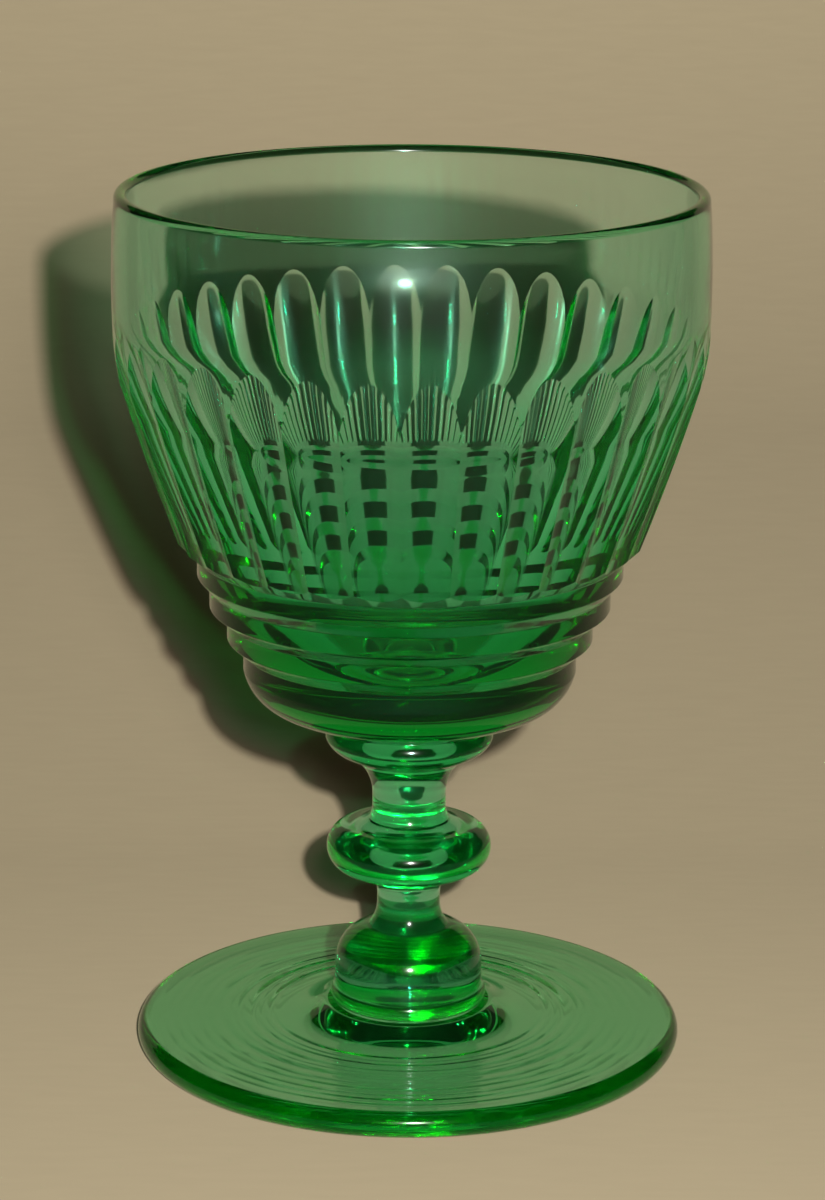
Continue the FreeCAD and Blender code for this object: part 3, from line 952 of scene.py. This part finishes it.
@dataclass(frozen=True)
class TablePaper:
    """Matt paper, faintly mottled along its width, with painted shade that darkens it towards the front.

    Attributes:
        colour: Its colour where no painted shade darkens it.
        mottle: How far the mottling goes either side of that colour.
        grain: How often the mottling repeats along each axis.
        painted_shading_span: Places along Y where the painted shade begins and ends, in metres.
        painted_shading_stops: Places of the inner marks of painted shade, as shares of that span.
        painted_shades: The painted shade at each mark, from front to back.
    """

    colour: tuple[float, float, float] = (0.43, 0.362, 0.236)
    mottle: float = 0.04
    grain: tuple[float, float, float] = (18.0, 90.0, 90.0)
    painted_shading_span: tuple[float, float] = (-0.06, 0.40)
    painted_shading_stops: tuple[float, ...] = (0.35, 0.7)
    painted_shades: tuple[float, ...] = (0.62, 0.85, 0.73, 1.0)

    ROUGHNESS = 0.95
    SHEEN_LEVEL = 0.1
    MOTTLE_SIZE = 6.0
    MOTTLE_DETAIL = 4.0

    def material(self) -> bpy.types.Material:
        """Make the material, which can't be seen from behind.

        Returns:
            The material.
        """
        made = bpy.data.materials.new("table_paper")
        made.use_nodes = True
        tree = made.node_tree
        paper = tree.nodes["Principled BSDF"]
        paper.inputs["Roughness"].default_value = self.ROUGHNESS
        paper.inputs["Specular IOR Level"].default_value = self.SHEEN_LEVEL
        place = tree.nodes.new("ShaderNodeTexCoord")
        blend = tree.nodes.new("ShaderNodeMixRGB")
        blend.blend_type = "MULTIPLY"
        blend.inputs["Fac"].default_value = 1.0
        tree.links.new(self.mottling(tree, place), blend.inputs[1])
        tree.links.new(self.painted_shading(tree, place), blend.inputs[2])
        tree.links.new(blend.outputs["Color"], paper.inputs["Base Color"])
        side = tree.nodes.new("ShaderNodeNewGeometry")
        unseen = tree.nodes.new("ShaderNodeBsdfTransparent")
        pick = tree.nodes.new("ShaderNodeMixShader")
        tree.links.new(side.outputs["Backfacing"], pick.inputs["Fac"])
        tree.links.new(paper.outputs["BSDF"], pick.inputs[1])
        tree.links.new(unseen.outputs["BSDF"], pick.inputs[2])
        tree.links.new(pick.outputs["Shader"], tree.nodes["Material Output"].inputs["Surface"])
        return made

    def mottling(self, tree: bpy.types.NodeTree, place: bpy.types.Node) -> bpy.types.NodeSocket:
        """Add the faint streaks of the paper.

        Args:
            tree: Node tree of the material.
            place: Its Texture Coordinate node.

        Returns:
            The socket that gives the colour.
        """
        stretch = tree.nodes.new("ShaderNodeMapping")
        stretch.inputs["Scale"].default_value = self.grain
        streaks = tree.nodes.new("ShaderNodeTexNoise")
        streaks.inputs["Scale"].default_value = self.MOTTLE_SIZE
        streaks.inputs["Detail"].default_value = self.MOTTLE_DETAIL
        shade = tree.nodes.new("ShaderNodeMixRGB")
        shade.inputs[1].default_value = (*[(1 - self.mottle) * part for part in self.colour], 1.0)
        shade.inputs[2].default_value = (*[(1 + self.mottle) * part for part in self.colour], 1.0)
        tree.links.new(place.outputs["Object"], stretch.inputs["Vector"])
        tree.links.new(stretch.outputs["Vector"], streaks.inputs["Vector"])
        tree.links.new(streaks.outputs["Fac"], shade.inputs["Fac"])
        return shade.outputs["Color"]

    def painted_shading(self, tree: bpy.types.NodeTree, place: bpy.types.Node) -> bpy.types.NodeSocket:
        """Add the painted shade, which darkens the paper towards the front, standing in for how the lamp
        lights the table.

        Args:
            tree: Node tree of the material.
            place: Its Texture Coordinate node.

        Returns:
            The socket that gives the shade.
        """
        apart = tree.nodes.new("ShaderNodeSeparateXYZ")
        along = tree.nodes.new("ShaderNodeMapRange")
        along.inputs["From Min"].default_value = self.painted_shading_span[0]
        along.inputs["From Max"].default_value = self.painted_shading_span[1]
        ramp = tree.nodes.new("ShaderNodeValToRGB")
        # Painted shade: the paper's colour is darkened by its place along Y.
        for stop in self.painted_shading_stops:
            ramp.color_ramp.elements.new(stop)
        for mark, shade in zip(ramp.color_ramp.elements, self.painted_shades):
            mark.color = (shade, shade, shade, 1.0)
        tree.links.new(place.outputs["Object"], apart.inputs["Vector"])
        tree.links.new(apart.outputs["Y"], along.inputs["Value"])
        tree.links.new(along.outputs["Result"], ramp.inputs["Fac"])
        return ramp.outputs["Color"]


@dataclass
class Studio:
    """The table, the light and the camera.

    Attributes are places and sizes in metres, angles in radians.
    """

    camera_place: tuple[float, float, float] = (0.00035, -0.5534, 0.2214)
    camera_pitch: float = math.radians(15.42)
    camera_roll: float = math.radians(0.31)
    lens: float = 116.55
    lamp_aside: float = 29.0 * MM
    lamp_above: float = 24.0 * MM
    lamp_size: float = 9.0 * MM
    lamp_power: float = 9.2
    lamp_rim_size: float = 55.0 * MM
    lamp_rim_power: float = 2.0
    lamp_colour: tuple[float, float, float] = (1.0, 0.97, 0.92)
    lamp_aim: tuple[float, float, float] = (0.0, 0.1, 0.06)
    sky_colour: tuple[float, float, float] = (0.36, 0.31, 0.2)
    sky_strength: float = 0.04
    table_drop: float = 0.04 * MM
    sweep_start: float = 0.08
    sweep_radius: float = 0.5
    sweep_turn: float = math.radians(70)
    sweep_steps: int = 24
    front: float = -0.6
    half_width: float = 0.5
    glass_bounces: int = 32
    mirror_bounces: int = 12
    brightest_glint: float = 60.0

    def table(self) -> bpy.types.Object:
        """Lay the plain table top, which sweeps up behind the glass.

        Returns:
            The table top.
        """
        deselect_all()
        bpy.ops.mesh.primitive_plane_add(size=1.0, location=(0, 0, 0))
        top = bpy.context.object
        top.name = "table"
        top.scale = (2 * self.half_width, self.sweep_start - self.front, 1.0)
        top.location = (0.0, (self.sweep_start + self.front) / 2, -self.table_drop)
        bpy.ops.object.transform_apply(location=True, rotation=True, scale=True)
        self.select_back_edge(top)
        hinge = (0, self.sweep_start, self.sweep_radius - self.table_drop)
        bpy.ops.mesh.spin(steps=self.sweep_steps, angle=-self.sweep_turn, center=hinge, axis=(1, 0, 0))
        bpy.ops.object.mode_set(mode="OBJECT")
        bpy.ops.object.shade_smooth_by_angle(angle=math.radians(30))
        top.data.materials.append(TablePaper().material())
        return top

    def select_back_edge(self, top: bpy.types.Object) -> None:
        """Enter edit mode with only the rear edge of the table selected."""
        bpy.ops.object.mode_set(mode="OBJECT")
        for face in top.data.polygons:
            face.select = False
        for vertex in top.data.vertices:
            vertex.select = vertex.co.y > self.sweep_start - 1e-5
        for edge in top.data.edges:
            edge.select = all(top.data.vertices[index].select for index in edge.vertices)
        bpy.ops.object.mode_set(mode="EDIT")
        bpy.ops.mesh.select_mode(type="EDGE")

    def camera(self) -> bpy.types.Object:
        """Set up the camera in front of the glass and a little above it.

        Returns:
            The camera.
        """
        deselect_all()
        bpy.ops.object.camera_add(location=self.camera_place)
        camera = bpy.context.object
        camera.rotation_mode = "XYZ"
        camera.rotation_euler = (math.radians(90) - self.camera_pitch, 0.0, 0.0)
        camera.rotation_euler.rotate_axis("Z", self.camera_roll)
        camera.data.lens = self.lens
        camera.data.clip_start = 0.01
        bpy.context.scene.camera = camera
        return camera

    def lights(self) -> None:
        """Light a small round lamp with a dimmer rim beside the camera, and a faint even sky."""
        deselect_all()
        x, y, z = self.camera_place
        place = Vector((x + self.lamp_aside, y, z + self.lamp_above))
        bpy.ops.object.light_add(type="AREA", location=place)
        lamp = bpy.context.object
        lamp.name = "key_lamp"
        lamp.data.shape = "DISK"
        lamp.data.size = self.lamp_size
        lamp.data.energy = self.lamp_power
        lamp.data.color = self.lamp_colour
        aim = Vector(self.lamp_aim) - place
        lamp.rotation_euler = aim.to_track_quat("-Z", "Y").to_euler()
        bpy.ops.object.light_add(type="AREA", location=place, rotation=lamp.rotation_euler)
        rim = bpy.context.object
        rim.name = "lamp_rim"
        rim.data.shape = "DISK"
        rim.data.size = self.lamp_rim_size
        rim.data.energy = self.lamp_rim_power
        rim.data.color = self.lamp_colour
        sky = bpy.data.worlds.new("sky")
        sky.use_nodes = True
        light = sky.node_tree.nodes["Background"]
        light.inputs["Color"].default_value = (*self.sky_colour, 1.0)
        light.inputs["Strength"].default_value = self.sky_strength
        bpy.context.scene.world = sky

    def paths(self) -> None:
        """Let light go through many surfaces of glass, and show colours as they are."""
        scene = bpy.context.scene
        scene.cycles.max_bounces = self.glass_bounces
        scene.cycles.transmission_bounces = self.glass_bounces
        scene.cycles.glossy_bounces = self.mirror_bounces
        scene.cycles.transparent_max_bounces = self.glass_bounces
        scene.cycles.sample_clamp_indirect = self.brightest_glint
        scene.cycles.caustics_refractive = False
        scene.cycles.caustics_reflective = False
        scene.view_settings.view_transform = "Standard"

    def build(self) -> None:
        """Set up the table, the light and the camera."""
        self.table()
        self.camera()
        self.lights()
        self.paths()


@dataclass
class Rummer:
    """The whole glass: its pieces and what each one is finished with."""

    stem: Stem = field(default_factory=Stem)
    bowl: Bowl = field(default_factory=Bowl)
    crease: float = math.radians(9.0)

    def build(self) -> None:
        """Build, dress and place every piece."""
        # The bowl's glass has painted shade low down and painted green light on the rim.
        clear = GlassFinish("bowl_green_glass", lamp_share=0.97, lamp_share_behind=0.52,
                            low_shade=(1.0, 0.52, 0.68), low_behind=0.5, low_span=(70 * MM, 118 * MM),
                            low_painted_shade=(0.6, 0.7, 0.68), low_painted_shade_span=(74 * MM, 82 * MM), glance=(0.03, 0.5, 0.32))
        thick = GlassFinish("stem_green_glass", lamp_share=0.38, lamp_share_behind=1.0)
        # Painted shade: the dome's glass is a darker copy of the stem's, absorbing more so that the dome
        # looks darker.
        dome_painted_shade = GlassFinish("dome_glass_painted_shade", tint=(0.0, 0.7, 0.45), depth=165.0, lamp_share=0.35,
                           lamp_share_behind=0.6)
        flat = GlassFinish("foot_green_glass", tint=(0.0, 0.94, 0.46), depth=112.0, lamp_share=0.83,
                           lamp_share_behind=0.8)
        pale = GlassFinish("collar_pale_glass", tint=(0.1, 0.95, 0.6), depth=60.0, lamp_share=0.6)
        pieces = self.stem.build()
        pieces["bowl"] = self.bowl.build()
        finishes = {"bowl": clear, "base_dome": dome_painted_shade, "foot": flat, "foot_collar": pale}
        made = {finish: finish.material() for finish in (clear, thick, dome_painted_shade, flat, pale)}
        for node, piece in pieces.items():
            finish = finishes.get(node, thick)
            self.dress(piece, node, made[finish])

    def dress(self, piece: bpy.types.Object, node: str, material: bpy.types.Material) -> None:
        """Smooth a piece, give it its glass and put it in the place of its node.

        Args:
            piece: The piece.
            node: The node that it stands for.
            material: Its glass.
        """
        deselect_all()
        piece.select_set(True)
        bpy.context.view_layer.objects.active = piece
        bpy.ops.object.shade_smooth_by_angle(angle=self.crease)
        piece.data.materials.clear()
        piece.data.materials.append(material)
        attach(piece, ROOT_BODY)
        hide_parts(node)
        LOG.info("%s: %d faces, stands for %s", piece.name, len(piece.data.polygons), node)


def main() -> None:
    """Build the glass and the studio."""
    logging.basicConfig(level=logging.INFO, format="%(name)s: %(message)s")
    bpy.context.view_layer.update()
    Rummer().build()
    Studio().build()


if __name__ == "__main__":
    main()
